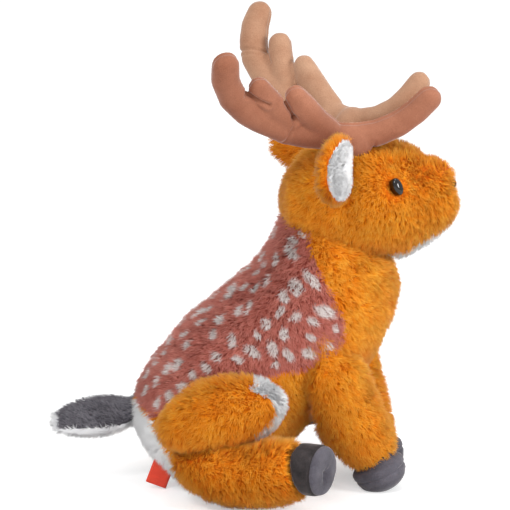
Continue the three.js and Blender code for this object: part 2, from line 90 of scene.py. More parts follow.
def unit(v):
    v = np.asarray(v, float)
    return v / np.maximum(np.linalg.norm(v, axis=-1, keepdims=True), 1e-12)


def distance(points, place):
    return np.linalg.norm(points - place, axis=1)


def smoothstep(x, low, high):
    t = np.clip((x - low) / (high - low), 0, 1)
    return t * t * (3 - 2 * t)


def bell(x, width):
    """1 at zero, falling to nothing within a few widths."""
    return np.exp(-((x / width) ** 2))


def even(height):
    """The same height at every point."""
    return lambda points: np.full(len(points), height)


def waves(points, size, seed):
    """A smooth field, about -1 to 1, that varies over a distance of about `size`."""
    draw = np.random.default_rng(seed)
    total = np.zeros(len(points))
    for _ in range(6):
        turns = points @ unit(draw.normal(size=3)) * (2 * math.pi / (size * draw.uniform(0.7, 1.5)))
        total += np.sin(turns + draw.uniform(0, 2 * math.pi))
    return total / 3


def circle(count):
    """Angles spread evenly over a whole turn."""
    return np.arange(count) * (2 * math.pi / count)


def turned_to(way):
    """The turn that brings +Z to a way."""
    return Vector((0, 0, 1)).rotation_difference(Vector(way)).to_matrix()


def linked(name, data):
    """An object in the scene for a mesh, a lamp or a camera."""
    made = bpy.data.objects.new(name, data)
    bpy.context.scene.collection.objects.link(made)
    return made


def mesh_of(name, points, faces):
    mesh = bpy.data.meshes.new(name)
    mesh.from_pydata(points, [], faces)
    return mesh


def smooth_object(name, mesh, material):
    mesh.polygons.foreach_set("use_smooth", np.ones(len(mesh.polygons), bool))
    mesh.materials.append(material)
    return linked(name, mesh)


# Materials

def srgb(*color):
    """A shader's colour from the red, green and blue that a screen shows, 0 to 255."""
    shares = [value / 255 for value in color]
    return tuple(s / 12.92 if s < 0.04045 else ((s + 0.055) / 1.055) ** 2.4 for s in shares) + (1,)


class Nodes:
    """A node tree, with short ways to add and join nodes."""

    def __init__(self, tree):
        self.tree = tree

    def node(self, kind, inputs=None, **settings):
        made = self.tree.nodes.new("ShaderNode" + kind)
        for key, value in settings.items():
            setattr(made, key, value)
        for key, value in (inputs or {}).items():
            self.join(value, made.inputs[key])
        return made

    def join(self, value, socket):
        if isinstance(value, bpy.types.NodeSocket):
            self.tree.links.new(value, socket)
        else:
            socket.default_value = value

    def ramp(self, factor, stops):
        made = self.node("ValToRGB", {0: factor})
        elements = made.color_ramp.elements
        while len(elements) < len(stops):
            elements.new(0.5)
        for element, (place, color) in zip(elements, stops):
            element.position = place
            element.color = srgb(*color)
        return made.outputs[0]

    def math(self, operation, *values):
        return self.node("Math", dict(enumerate(values)), operation=operation).outputs[0]

    def mix(self, factor, a, b, blend_type="MIX"):
        """Two colours mixed. The node's sockets for colours are its inputs 6 and 7 and its output 2."""
        made = self.node("Mix", data_type="RGBA", blend_type=blend_type)
        for socket, value in ((0, factor), (6, a), (7, b)):
            self.join(value, made.inputs[socket])
        return made.outputs[2]

    def noise(self, scale, detail=3.0, roughness=0.55):
        place = self.node("TexCoord").outputs["Object"]
        inputs = {"Vector": place, "Scale": scale, "Detail": detail, "Roughness": roughness}
        return self.node("TexNoise", inputs).outputs[0]

    def bands(self, direction, scale, **inputs):
        made = self.node("TexWave", {"Scale": scale, **inputs}, wave_type="BANDS", bands_direction=direction)
        return made.outputs[1]


class Look(Nodes):
    """A material, with its principled shader's values."""

    def __init__(self, name, **values):
        self.material = bpy.data.materials.new(name)
        self.material.use_nodes = True
        super().__init__(self.material.node_tree)
        self.shader = self.tree.nodes["Principled BSDF"]
        for key, value in values.items():
            self.shader.inputs[key.replace("_", " ")].default_value = value

    def color(self, socket):
        self.join(socket, self.shader.inputs["Base Color"])

    def bump(self, height, distance, strength):
        made = self.node("Bump", {"Height": height, "Distance": distance, "Strength": strength})
        self.join(made.outputs[0], self.shader.inputs["Normal"])


# Steps across a pile's map, from plain to the palest spot, and where a strand's three colours lie along it
LEVELS = 4
COLOR_PLACES = (0, 0.4, 1)


def pile_look(name, *palettes):
    """Pile, as its slot's name and its material. A palette has a strand's colours from root to tip. There are
    two, of the darkest and the lightest strands, and two more where there are pale spots."""
    look = Look(name, Roughness=0.9, Sheen_Weight=0.12, Sheen_Roughness=0.5, Specular_IOR_Level=0.15)
    place = look.node("UVMap", uv_map="OFBake").outputs[0]
    across, along = look.node("SeparateXYZ", {0: place}).outputs[:2]
    scaled = look.math("MULTIPLY", across, LEVELS)
    level = look.math("DIVIDE", look.math("FLOOR", scaled), LEVELS - 1)
    shade = look.math("FRACT", scaled)
    ramps = [look.ramp(along, list(zip(COLOR_PLACES, palette))) for palette in palettes]
    color = look.mix(shade, *ramps[:2])
    if len(ramps) > 2:
        color = look.mix(level, color, look.mix(shade, *ramps[2:]))
    look.color(color)
    look.join(look.ramp(along, [(0, (255, 255, 255)), (1, (225, 225, 225))]), look.shader.inputs["Roughness"])
    return name, look.material


# Each palette darkens from tip to root: painted shade, for the shade that falls deep between the strands
ORANGE = pile_look(
    "orange_pile",
    ((196, 87, 1), (233, 118, 2), (247, 145, 15)),
    ((229, 121, 5), (255, 163, 26), (255, 199, 82)),
)
SADDLE = pile_look(
    "saddle_pile",
    ((142, 68, 58), (182, 95, 82), (205, 115, 102)),
    ((162, 82, 70), (213, 126, 110), (236, 162, 146)),
    ((166, 126, 118), (214, 198, 192), (236, 226, 222)),
    ((190, 156, 148), (236, 224, 220), (250, 243, 240)),
)
WHITE = pile_look(
    "white_pile",
    ((246, 245, 248), (253, 253, 255), (255, 255, 255)),
    ((250, 250, 252), (255, 255, 255), (255, 255, 255)),
)
TAIL_GREY = pile_look(
    "tail_pile",
    ((62, 59, 65), (98, 95, 102), (126, 123, 130)),
    ((82, 79, 85), (126, 123, 130), (160, 157, 164)),
)


def velour_look(name, dark, light, grain=1400, sheen=0.5, patches=28):
    """Short brushed cloth: patches of two tones as painted nap shading, and a fine grain."""
    look = Look(name, Roughness=0.75, Sheen_Weight=sheen, Sheen_Roughness=0.35, Specular_IOR_Level=0.2)
    broad = look.noise(patches, detail=4.0, roughness=0.6)
    fine = look.noise(grain, detail=2.0, roughness=0.7)
    # The two tones in patches paint the nap's shading, where brushed pile catches more or less light
    painted_nap_shade = look.ramp(broad, [(0.3, dark), (0.7, light)])
    grainy = look.ramp(fine, [(0.3, (214, 210, 208)), (0.7, (255, 255, 255))])
    look.color(look.mix(0.7, painted_nap_shade, grainy, "MULTIPLY"))
    look.bump(fine, distance=0.25 * MM, strength=0.5)
    return look.material


# The inner velour is a lighter copy of the outer one: painted light, for the brighter light on faces turned
# up towards the lamps
ANTLER_OUTER = velour_look("antler_velour_outer", (139, 84, 61), (173, 115, 89))
ANTLER_INNER_LIT = velour_look("antler_velour_inner", (163, 116, 88), (193, 152, 123))
SOLE_GREY = velour_look("sole_velour", (64, 61, 69), (98, 95, 104), grain=1100, sheen=0.35, patches=70)
HOOF_DARK = velour_look("hoof_velour", (24, 21, 22), (62, 56, 57), grain=900, sheen=0.3, patches=110)
FIBRE = velour_look("filling_fibre", (226, 223, 214), (246, 244, 238), grain=600)
BAG_CLOTH = velour_look("pellet_bag_cloth", (196, 190, 176), (218, 213, 200), grain=1800, sheen=0.1)


# Soft forms from the frame's own solids

def arrays(mesh):
    """Points, their normals and the triangles of a mesh."""
    mesh.calc_loop_triangles()
    found = []
    for items, key, kind in ((mesh.vertices, "co", float), (mesh.vertices, "normal", float),
                             (mesh.loop_triangles, "vertices", np.int32)):
        values = np.empty(len(items) * 3, kind)
        items.foreach_get(key, values)
        found.append(values.reshape(-1, 3))
    return found


def ringed(rings):
    """Points and faces of a loft closed at both ends."""
    points = np.array([p for ring in rings for p in ring])
    count = len(rings[0])
    faces = []
    for i in range(len(rings) - 1):
        for k in range(count):
            a, b = i * count + k, i * count + (k + 1) % count
            faces += [(a, b, b + count), (a, b + count, a + count)]
    last = (len(rings) - 1) * count
    for k in range(1, count - 1):
        faces += [(0, k + 1, k), (last, last + k, last + k + 1)]
    return points, np.array(faces)


def unit_ball(columns=20, rows=12):
    """Points and faces of a ball of radius one."""
    rings = []
    for low in np.linspace(0, math.pi, rows + 1):
        wide, high = math.sin(low), math.cos(low)
        rings.append([(wide * math.cos(turn), wide * math.sin(turn), high) for turn in circle(columns)])
    return ringed(rings)


BALL = unit_ball()


def whole_form(nodes, plugs, voxel, rounds, finer, rings):
    """One smooth closed skin round the frame's solids, or a loft's rings, and the plugs in their seams."""
    parts = [arrays(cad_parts[node].data)[::2] for node in nodes] if rings is None else []
    if rings:
        parts.append(ringed(rings))
    for middle, radii, turn in plugs:
        parts.append((np.array(middle) + (BALL[0] * np.array(radii)) @ np.array(turn).T, BALL[1]))
    starts = np.cumsum([0] + [len(points) for points, _ in parts])
    points = np.concatenate([points for points, _ in parts])
    faces = np.concatenate([faces + start for start, (_, faces) in zip(starts, parts)])
    mesh = mesh_of("form", points, faces)
    holder = linked("form", mesh)
    remesh = holder.modifiers.new("whole", "REMESH")
    remesh.mode = "VOXEL"
    remesh.voxel_size = voxel
    smooth = holder.modifiers.new("soft", "SMOOTH")
    smooth.factor = 0.5
    smooth.iterations = rounds
    if finer:
        holder.modifiers.new("finer", "SUBSURF").levels = finer
    bpy.context.view_layer.update()
    final = bpy.data.meshes.new_from_object(holder.evaluated_get(bpy.context.evaluated_depsgraph_get()))
    result = arrays(final)
    bpy.data.objects.remove(holder)
    bpy.data.meshes.remove(mesh)
    bpy.data.meshes.remove(final)
    return result


def tree_of(points, faces):
    return BVHTree.FromPolygons(points.tolist(), faces.tolist())


def nearest_label(points, nodes):
    """For each point, the place in `nodes` of the solid that lies nearest."""
    if len(nodes) == 1:
        return np.zeros(len(points), int)
    trees = [tree_of(*arrays(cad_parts[node].data)[::2]) for node in nodes]
    far = [[tree.find_nearest(Vector(p))[3] for tree in trees] for p in points]
    return np.argmin(np.array(far), axis=1)


PILE_HEIGHT = 5 * MM
LUMP_SIZE = 34 * MM
ABOVE_FLOOR = 0.3 * MM


class Form:
    """A skin under the pile: the frame's surface drawn in by the pile's height."""

    def __init__(self, nodes, fillers=(), plugs=(), height=even(PILE_HEIGHT), voxel=2.6 * MM, rounds=14,
                 lumps=0.8 * MM, seed=1, finer=0, relief=None, rings=None, labeller=None, warps=(), sink=0.8):
        self.nodes, self.height, self.seed = nodes, height, seed
        outer, normals, self.faces = whole_form([*nodes, *fillers], plugs, voxel, rounds, finer, rings)
        for middle, reach, shift in warps:
            fall = np.exp(-((outer - middle) ** 2).sum(axis=1) / reach**2)
            outer = outer + fall[:, None] * np.array(shift)
        drawn = sink * height(outer) - lumps * waves(outer, LUMP_SIZE, seed)
        if relief:
            drawn = drawn - relief(outer)
        self.outer, self.normals = outer, normals
        self.points = outer - normals * drawn[:, None]
        self.points[:, 2] = np.maximum(self.points[:, 2], ABOVE_FLOOR)
        self.box = outer.min(axis=0), outer.max(axis=0)
        self.tree = tree_of(outer, self.faces)
        middles = outer[self.faces].mean(axis=1)
        ways = unit(normals[self.faces].mean(axis=1))
        self.face_label = labeller(middles, ways).astype(int) if labeller else nearest_label(middles, nodes)

    @cache
    def scatter(self, density):
        """Roots spread over the skin: place, the frame's place above it, the way out, and the label."""
        draw = np.random.default_rng(self.seed)
        corners = self.points[self.faces]
        crossed = np.cross(corners[:, 1] - corners[:, 0], corners[:, 2] - corners[:, 0])
        areas = np.linalg.norm(crossed, axis=1) / 2
        count = int(areas.sum() * density)
        face = draw.choice(len(areas), count, p=areas / areas.sum())
        a, b = draw.random(count), draw.random(count)
        over = a + b > 1
        a[over], b[over] = 1 - a[over], 1 - b[over]
        weights = np.stack([1 - a - b, a, b], axis=1)[:, :, None]

        def blend(values):
            return (values[self.faces[face]] * weights).sum(axis=1)

        return blend(self.points), blend(self.outer), unit(blend(self.normals)), self.face_label[face]


def depth_inside(points, form):
    """How deep each point lies inside a form, and zero outside."""
    deep = np.zeros(len(points))
    low, high = form.box
    for i in np.flatnonzero(((points > low) & (points < high)).all(axis=1)):
        place, out, _, far = form.tree.find_nearest(points[i])
        if (place - Vector(points[i])).dot(out) > 0.7 * far:
            deep[i] = far
    return deep


# Pile: thin three-sided strands, combed and gathered into tufts

PALETTE_STEP = 6 / 1024
MAP_EDGE, MAP_SPAN = 0.02, 0.94
# The corner of the map where the bare skin between the strands finds its colour: a dark root colour, painted
# shade for the shade deep in the pile
SKIN_ACROSS = np.array([0.1, 0.13, 0.115])
SKIN_ALONG = np.array([0.1, 0.1, 0.14])
STRAND_SIDES = 3
# How much strands and tufts differ in turn, lean, length and shade
STRAND_TURN, STRAND_LEAN, STRAND_LENGTH, STRAND_SHADE = 0.45, 0.12, (0.85, 1.08), 0.1
TUFT_TURN, TUFT_LEAN, TUFT_LENGTH, TUFT_SHADE = 0.5, 0.16, (0.86, 1.12), 0.19
# Slow changes over the coat, each as an amount and a size
TURN_WAVES, LEAN_WAVES, SHADE_WAVES = (0.4, 16 * MM), (0.16, 13 * MM), (0.15, 26 * MM)
WIDTH_RANGE, LEAST_WIDTH = (0.8, 1.15), 0.55
TIP_ABOVE_FLOOR = 0.4 * MM
# How far the strands' shading follows the skin under them
SKIN_SHADING = 0.75


def strands(roots, normals, comb, length, lean, tuft, gather, seed):
    """Each strand's tip and shade."""
    draw = np.random.default_rng(seed)
    count = len(roots)

    def drift(change, step):
        return change[0] * waves(roots, change[1], seed + step)

    across = unit(comb - normals * np.einsum("ij,ij->i", comb, normals)[:, None])
    side = np.cross(normals, across)
    leaders = draw.choice(count, max(int(count / tuft), 1), replace=False)
    tree = KDTree(len(leaders))
    for i, leader in enumerate(leaders):
        tree.insert(Vector(roots[leader]), i)
    tree.balance()
    own = leaders[np.array([tree.find(Vector(p))[1] for p in roots])]
    turn_of_tuft = draw.normal(0, TUFT_TURN, count)[own] + drift(TURN_WAVES, 1)
    tuft_shade = draw.normal(0, 1, count)[own]
    tuft_length = draw.uniform(*TUFT_LENGTH, count)[own]
    turn = turn_of_tuft + draw.normal(0, STRAND_TURN, count)
    varied = 1 + draw.normal(0, STRAND_LEAN, count) + draw.normal(0, TUFT_LEAN, count)[own]
    tilt = lean * varied + drift(LEAN_WAVES, 2)
    flat = across * np.cos(turn)[:, None] + side * np.sin(turn)[:, None]
    way = unit(normals * np.cos(tilt)[:, None] + flat * np.sin(tilt)[:, None])
    reach = length * tuft_length * draw.uniform(*STRAND_LENGTH, count)
    tips = roots + way * reach[:, None]
    tips = tips + (tips[own] - tips) * (gather * draw.uniform(0.5, 1.0, count))[:, None]
    shade = 0.5 + TUFT_SHADE * tuft_shade + drift(SHADE_WAVES, 3) + draw.normal(0, STRAND_SHADE, count)
    return tips, np.clip(shade, 0.02, 0.96)


def pile_mesh(name, skin, pile, width, shade, level, material, rounded):
    """One mesh of the cloth's skin and its strands, with the colour map that the pile's look reads.
    `skin` is its points, normals and faces, and `pile` the strands' roots, tips and ways out."""
    skin_points, skin_normals, skin_faces = skin
    roots, tips, normals = pile
    count = len(roots)
    way = unit(tips - roots)
    first = unit(np.cross(way, normals + 0.01))
    second = np.cross(way, first)
    angles = circle(STRAND_SIDES) + math.pi / 2
    cosine, sine = np.cos(angles)[None, :, None], np.sin(angles)[None, :, None]
    rim = first[:, None, :] * cosine + second[:, None, :] * sine
    bases = roots[:, None, :] + rim * (width / 2)[:, None, None]
    round_normals = unit(normals[:, None, :] * SKIN_SHADING + rim * rounded)
    tip_normals = unit(normals * SKIN_SHADING + way * rounded)
    strand_points = np.concatenate([bases, tips[:, None, :]], axis=1).reshape(-1, 3)
    strand_normals = np.concatenate([round_normals, tip_normals[:, None, :]], axis=1).reshape(-1, 3)
    start = len(skin_points) + np.arange(count)[:, None] * (STRAND_SIDES + 1)
    i = np.arange(STRAND_SIDES)[None, :]
    tip = np.broadcast_to(start + STRAND_SIDES, (count, STRAND_SIDES))
    strand_faces = np.stack([start + i, start + (i + 1) % STRAND_SIDES, tip], axis=2).reshape(-1, 3)
    points = np.concatenate([skin_points, strand_points])
    mesh = mesh_of(name, points, np.concatenate([skin_faces, strand_faces]))
    left = (level + shade * MAP_SPAN + MAP_EDGE) / LEVELS
    strand_map = np.empty((count, STRAND_SIDES, 3, 2))
    for corner, (step, along) in enumerate(((0, MAP_EDGE), (1, MAP_EDGE), (0.5, 1 - MAP_EDGE))):
        strand_map[..., corner, 0] = left[:, None] + step * PALETTE_STEP
        strand_map[..., corner, 1] = along
    skin_map = np.empty((len(skin_faces), 3, 2))
    skin_map[:, :, 0] = SKIN_ACROSS / LEVELS
    skin_map[:, :, 1] = SKIN_ALONG
    whole_map = np.concatenate([skin_map.ravel(), strand_map.ravel()])
    mesh.uv_layers.new(name="OFBake").data.foreach_set("uv", whole_map)
    mesh.update()
    mesh.validate()
    made = smooth_object(name, mesh, material)
    mesh.normals_split_custom_set_from_vertices(np.concatenate([skin_normals, strand_normals]))
    return made


def settle(obj, body, nodes):
    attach(obj, body)
    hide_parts(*nodes)
    return obj


def grow(form, node, name, body, look, comb, hides=(), keep=None, level=None, density=2.1e6,
         lean=math.radians(46), ratio=1.3, width=0.66 * MM, tuft=5, gather=0.22, buried=13 * MM, rounded=0.4):
    """A cloth panel with its pile, in place of one of the frame's solids."""
    slot, material = look
    label = form.nodes.index(node)
    roots, above, normals, labels = form.scatter(density)
    chosen = np.flatnonzero(labels == label)
    for other in hides:
        chosen = chosen[depth_inside(roots[chosen], other) < buried]
    if keep:
        chosen = chosen[keep(roots[chosen])]
    roots, above, normals = roots[chosen], above[chosen], normals[chosen]
    high = form.height(above)
    seed = form.seed * 100 + label
    tips, shade = strands(roots, normals, comb(above), high * ratio, lean, tuft, gather, seed)
    tips[:, 2] = np.maximum(tips[:, 2], TIP_ABOVE_FLOOR)
    varied = np.random.default_rng(seed + 9).uniform(*WIDTH_RANGE, len(roots))
    widths = width * np.clip(high / PILE_HEIGHT, LEAST_WIDTH, 1) * varied
    levels = level((above + tips) / 2) if level else np.zeros(len(roots))
    faces = form.faces[form.face_label == label]
    used, inverse = np.unique(faces, return_inverse=True)
    skin = form.points[used], form.normals[used], inverse.reshape(-1, 3)
    made = pile_mesh(name, skin, (roots, tips, normals), widths, shade, levels, material, rounded)
    return settle(made, body, [node])


# Which way the pile lies, and how high it stands on the head

RUMP_X, BREAST_X = -0.06, 0.04
CHEEK_LOW, CHEEK_HIGH = 0.14, 0.17
CROWN_LOW, CROWN_HIGH = 0.195, 0.225
EYE_PARTING = (6 * MM, 12 * MM)


def flow(*ways):
    way = np.array(ways, float)
    return lambda p: np.broadcast_to(way, (len(p), 3))


def torso_flow(p):
    """Down and back over the rump, and down and forward over the breast."""
    way = np.zeros((len(p), 3))
    way[:, 0] = -0.55 + smoothstep(p[:, 0], RUMP_X, BREAST_X)
    way[:, 2] = -0.85
    return way


def head_flow(p):
    """Back over the crown, down and outward over the cheeks, and away from the eyes."""
    crown = smoothstep(p[:, 2], CROWN_LOW, CROWN_HIGH)
    way = np.zeros((len(p), 3))
    way[:, 0] = -0.45 - 0.5 * crown
    way[:, 1] = 0.5 * np.sign(p[:, 1]) * (1 - crown) * smoothstep(-p[:, 2], -CHEEK_HIGH, -CHEEK_LOW)
    way[:, 2] = -0.9 + 0.8 * crown
    for side in SIDES:
        apart = p - EYE[side]
        near = 1 - smoothstep(np.linalg.norm(apart, axis=1), *EYE_PARTING)
        way += 2.0 * near[:, None] * unit(apart)
    return way


def head_height(p):
    """Shorter pile on the bridge of the nose, round the eyes and round the nose."""
    bridge = smoothstep(p[:, 0], 0.085, 0.115) * smoothstep(p[:, 2], 0.195, 0.205)
    high = np.full(len(p), PILE_HEIGHT) * (1 - 0.15 * bridge)
    for side in SIDES:
        high = high * (0.5 + 0.5 * smoothstep(distance(p, EYE[side]), 5 * MM, 12 * MM))
    return high * (0.4 + 0.6 * smoothstep(distance(p, NOSE), 3 * MM, 9 * MM))


def off_face(p):
    """Roots that leave the cloth bare at the eyes and the nose."""
    eyes = [distance(p, EYE[side]) for side in SIDES]
    return np.minimum.reduce([*eyes, distance(p, NOSE) - 1 * MM]) > 5 * MM


def off_tab(p):
    """Roots that leave the woven tab free."""
    beside = (abs(p[:, 0] + 0.06) < 0.009) & (p[:, 1] < -0.008) & (p[:, 1] > -0.03)
    return ~(beside & (p[:, 2] < 0.024))


# The saddle's spots, in millimetres on its side view: x, z, length, width and the way it points in degrees
SPOTS = [
    (-71, 66, 8, 6, 87), (-64, 74, 9, 5, -86), (-64, 83, 6, 4, 66), (-63, 61, 9, 5, -78),
    (-58, 90, 6, 4, -79), (-56, 82, 8, 6, 83), (-55, 67, 9, 6, -70), (-50, 86, 9, 6, 69),
    (-46, 73, 9, 7, -40), (-46, 102, 8, 4, 39), (-44, 98, 7, 5, -75), (-40, 82, 7, 5, -50),
    (-39, 112, 6, 4, 45), (-35, 111, 7, 5, 51), (-32, 87, 10, 5, -48), (-31, 118, 7, 5, 36),
    (-27, 106, 8, 5, -74), (-25, 94, 8, 5, -46), (-23, 115, 8, 7, -72), (-17, 129, 12, 6, 79),
    (-15, 104, 10, 6, -77), (-11, 93, 8, 5, -31), (-11, 121, 8, 5, -89), (-9, 139, 8, 4, 42),
    (-8, 134, 7, 4, 84), (-5, 124, 11, 4, -84), (-2, 98, 13, 6, -40), (-1, 135, 8, 4, 80),
    (0, 143, 5, 4, 31), (1, 108, 7, 4, -53), (5, 148, 6, 4, 70), (6, 115, 8, 6, -52), (6, 140, 9, 5, -86),
    (11, 100, 11, 6, -63), (12, 152, 9, 6, -62), (13, 90, 5, 4, 12), (13, 166, 8, 4, -50),
    (15, 123, 8, 5, 71), (17, 132, 10, 6, -54), (18, 109, 8, 6, -81), (21, 96, 10, 5, -49),
    (22, 158, 14, 7, -43), (23, 165, 9, 4, -26), (25, 120, 7, 5, 26), (25, 138, 12, 9, -46),
    (28, 169, 7, 4, -40), (34, 96, 10, 6, -36), (35, 107, 8, 4, -22), (35, 143, 16, 6, -44),
    (36, 117, 9, 5, -25), (44, 123, 13, 8, -21), (46, 100, 7, 5, -1), (51, 112, 6, 4, -87),
]
BACK_LOW, BACK_HIGH = np.array([-0.078, 0, 0.055]), np.array([0.014, 0, 0.168])
SPINE_ROWS = 11
SPOT_DEPTH = 9 * MM
# How far out in its spot a strand is still whitish, for each step
SPOT_REACH = (0.8, 1.05, 1.35)
# How far off the toy's middle a search for the cloth starts
OUTSIDE = 0.2


def spot_marks():
    """Each spot's middle, its two ways across the cloth and its half sizes, on both flanks and the spine."""
    marks = []

    def mark(start, way, tangent, long, wide):
        place, out, _, _ = torso.tree.ray_cast(Vector(start), Vector(way))
        if place is None:
            place, out, _, _ = torso.tree.find_nearest(Vector(start) + Vector(way) * OUTSIDE)
        place, out = np.array(place), np.array(out)
        along = unit(tangent - out * float(tangent @ out))
        marks.append((place, along, np.cross(out, along), long * MM / 2, wide * MM / 2))

    for x, z, long, wide, degrees in SPOTS:
        tangent = np.array([math.cos(math.radians(degrees)), 0, math.sin(math.radians(degrees))])
        for sign in SIDES.values():
            mark((x * MM, sign * OUTSIDE, z * MM), (0, -sign, 0), tangent, long, wide)
    back = BACK_HIGH - BACK_LOW
    out = unit(np.array([-back[2], 0, back[0]]))
    for k in range(SPINE_ROWS):
        middle = BACK_LOW + back * (k + 0.5) / SPINE_ROWS
        for y in (-9 * MM, 8 * MM) if k % 2 else (0.0,):
            mark(middle + out * OUTSIDE / 2 + np.array([0, y, 0]), -out, -back, 8 + k % 3, 5 + k % 2)
    return marks


def spots(p):
    """How whitish each root of the saddle is, in steps."""
    level = np.zeros(len(p))
    ragged = 1 + 0.25 * waves(p, 5 * MM, 77)
    for place, along, across, long, wide in spot_marks():
        apart = p - place
        depth = np.cross(along, across) @ apart.T / SPOT_DEPTH
        inside = ((apart @ along / long) ** 2 + (apart @ across / wide) ** 2 + depth**2) * ragged
        level = np.maximum(level, sum(inside < reach for reach in SPOT_REACH))
    return level


# The stuffed forms. A warp is a small swell or hollow: its middle, its reach and its shift

torso = Form(
    ["back_panel", "chest_panel", "rump_panel"], ["body_stuffing", "pellet_bag"], seed=1, voxel=3 * MM,
    warps=[((0.088, 0, 0.138), 0.018, (0.003, 0, 0)), ((0.084, 0, 0.105), 0.014, (-0.0012, 0, 0))],
)
head = Form(
    ["head_panel", "chin_panel"], ["head_stuffing", "eye_washer_left", "eye_washer_right"],
    [(NECK, (36 * MM,) * 3, NO_TURN)], height=head_height, seed=2, voxel=2.4 * MM, rounds=10,
    warps=[((0.122, 0, 0.207), 0.009, (0.002, 0, 0.001)), ((0.127, 0, 0.194), 0.006, (-0.003, 0, 0))],
)
LEG_WARPS = {"left": [((0.077, 0.03, 0.08), 0.02, (0.003, 0, 0))], "right": ()}
THIGH_TURN = Matrix.Rotation(math.radians(-16), 3, "Y")
FOOT_TURN = math.radians(22)
TRIM_LONG, TRIM_HIGH = 44 * MM, 25.5 * MM
TRIM_INNER, TRIM_LOW, TRIM_TOP = 0.8, -58, 48
legs, haunches, feet = {}, {}, {}


def trim_label(side, p, out):
    """The white strip round the haunch's top and front: 1 there, 0 on the orange pile."""
    across = (p - THIGH[side]) @ np.array(THIGH_TURN)
    long, high = across[:, 0] / TRIM_LONG, across[:, 2] / TRIM_HIGH
    angle = np.degrees(np.arctan2(high, long))
    return (np.hypot(long, high) > TRIM_INNER) & (angle > TRIM_LOW) & (angle < TRIM_TOP)


for i, (side, sign) in enumerate(SIDES.items()):
    upper = SHOULDER[side] + np.array([0.006, -0.002 * sign, -0.022])
    cuff = FRONT_SOLE[side] - LEG_DOWN * 24 * MM
    balls = ((SHOULDER[side], 18 * MM), (upper, 23 * MM), (cuff, 19.5 * MM))
    plugs = [(middle, (radius,) * 3, NO_TURN) for middle, radius in balls]
    legs[side] = Form(["front_leg_" + side], plugs=plugs, seed=3 + i, rounds=10, warps=LEG_WARPS[side])
    egg = (THIGH[side], (43.4 * MM, 24.4 * MM, 24.9 * MM), THIGH_TURN)
    nodes = ["hind_thigh_" + side, "thigh_trim_" + side]
    haunches[side] = Form(nodes, plugs=[egg], seed=5 + i, labeller=partial(trim_label, side))
    shin = (FOOT[side], (36 * MM, 20 * MM, 20 * MM), Matrix.Rotation(FOOT_TURN * sign, 3, "Z"))
    feet[side] = Form(["hind_foot_" + side], plugs=[shin], seed=7 + i)


def tail_label(p, out):
    """The tail's white pile, low on it and round its tip: 1 there, 0 on the grey pile."""
    along, high = (p - TAIL_ROOT) @ TAIL_OUT, (p - TAIL_ROOT) @ TAIL_UP
    return (high < 0.06 * along - 5.5 * MM) | (along > 52 * MM)


tail = Form(["tail_top", "tail_underside"], plugs=[(TAIL_ROOT, (12 * MM,) * 3, NO_TURN)], seed=9,
            voxel=2 * MM, rounds=4, height=even(2.4 * MM), lumps=0.4 * MM, sink=1.3, labeller=tail_label)
EAR_THICK = 8 * MM
EAR_WIDTH_SHARES = (0.55, 0.8, 0.96, 1, 0.98, 0.9, 0.72, 0.42)


def leaf(ear):
    """The rings of a cupped leaf that starts at the ear's root and opens one way."""
    across = np.cross(ear.pointing, ear.opening)
    rings = []
    for i, share in enumerate(EAR_WIDTH_SHARES):
        middle = ear.root + ear.pointing * ear.length * i / (len(EAR_WIDTH_SHARES) - 1)
        ring = []
        for way in (1, -1):
            radius = ear.bend + way * EAR_THICK / 2
            for angle in np.linspace(-way, way, 9) * share * ear.width / 2 / ear.bend:
                lift = ear.bend - radius * math.cos(angle)
                ring.append(middle + across * radius * math.sin(angle) + ear.opening * lift)
        rings.append(ring)
    return rings


def ear_label(ear, p, out):
    """The lining, an oval on the side that opens: 1 there, 0 on the ear's back."""
    across = np.cross(ear.pointing, ear.opening)
    half_long, half_wide = ear.lining * ear.length / 2, 0.47 * ear.width
    along = (p - ear.root) @ ear.pointing - half_long
    apart = (along / (half_long + 2 * MM)) ** 2 + ((p - ear.root) @ across / half_wide) ** 2
    return (out @ ear.opening > 0.4) & (apart < 1)


def ear_flow(ear, p):
    """Pile that fans out from the ear's middle and over its rim."""
    apart = p - (ear.root + ear.pointing * ear.length * 0.45)
    flat = apart - (apart @ ear.opening)[:, None] * ear.opening
    size = np.maximum(np.linalg.norm(flat, axis=1), 9 * MM)
    return flat / size[:, None] + 0.5 * ear.pointing - 0.25 * ear.opening


ears = {}
for i, (side, ear) in enumerate(EAR.items()):
    base = (ear.root - ear.pointing * 1 * MM - ear.opening * 3 * MM, (6 * MM, 6 * MM, 8 * MM), NO_TURN)
    ears[side] = Form(["ear_back_" + side, "ear_lining_" + side], plugs=[base], voxel=1.6 * MM, rounds=5,
                      seed=11 + i, height=even(1.8 * MM), lumps=0.3 * MM, labeller=partial(ear_label, ear),
                      rings=leaf(ear))
limbs = [*legs.values(), *haunches.values(), *feet.values()]
CUFF = 12 * MM
TRIM_PILE = dict(density=3.2e6, ratio=1.05, gather=0.05, lean=math.radians(36), width=0.85 * MM, rounded=0)
EAR_BACK_PILE = dict(density=2.8e6, ratio=3.2, tuft=7, gather=0.25, lean=math.radians(38))
LINING_PILE = dict(density=3.6e6, gather=0.05, lean=math.radians(38), width=0.9 * MM, rounded=0)

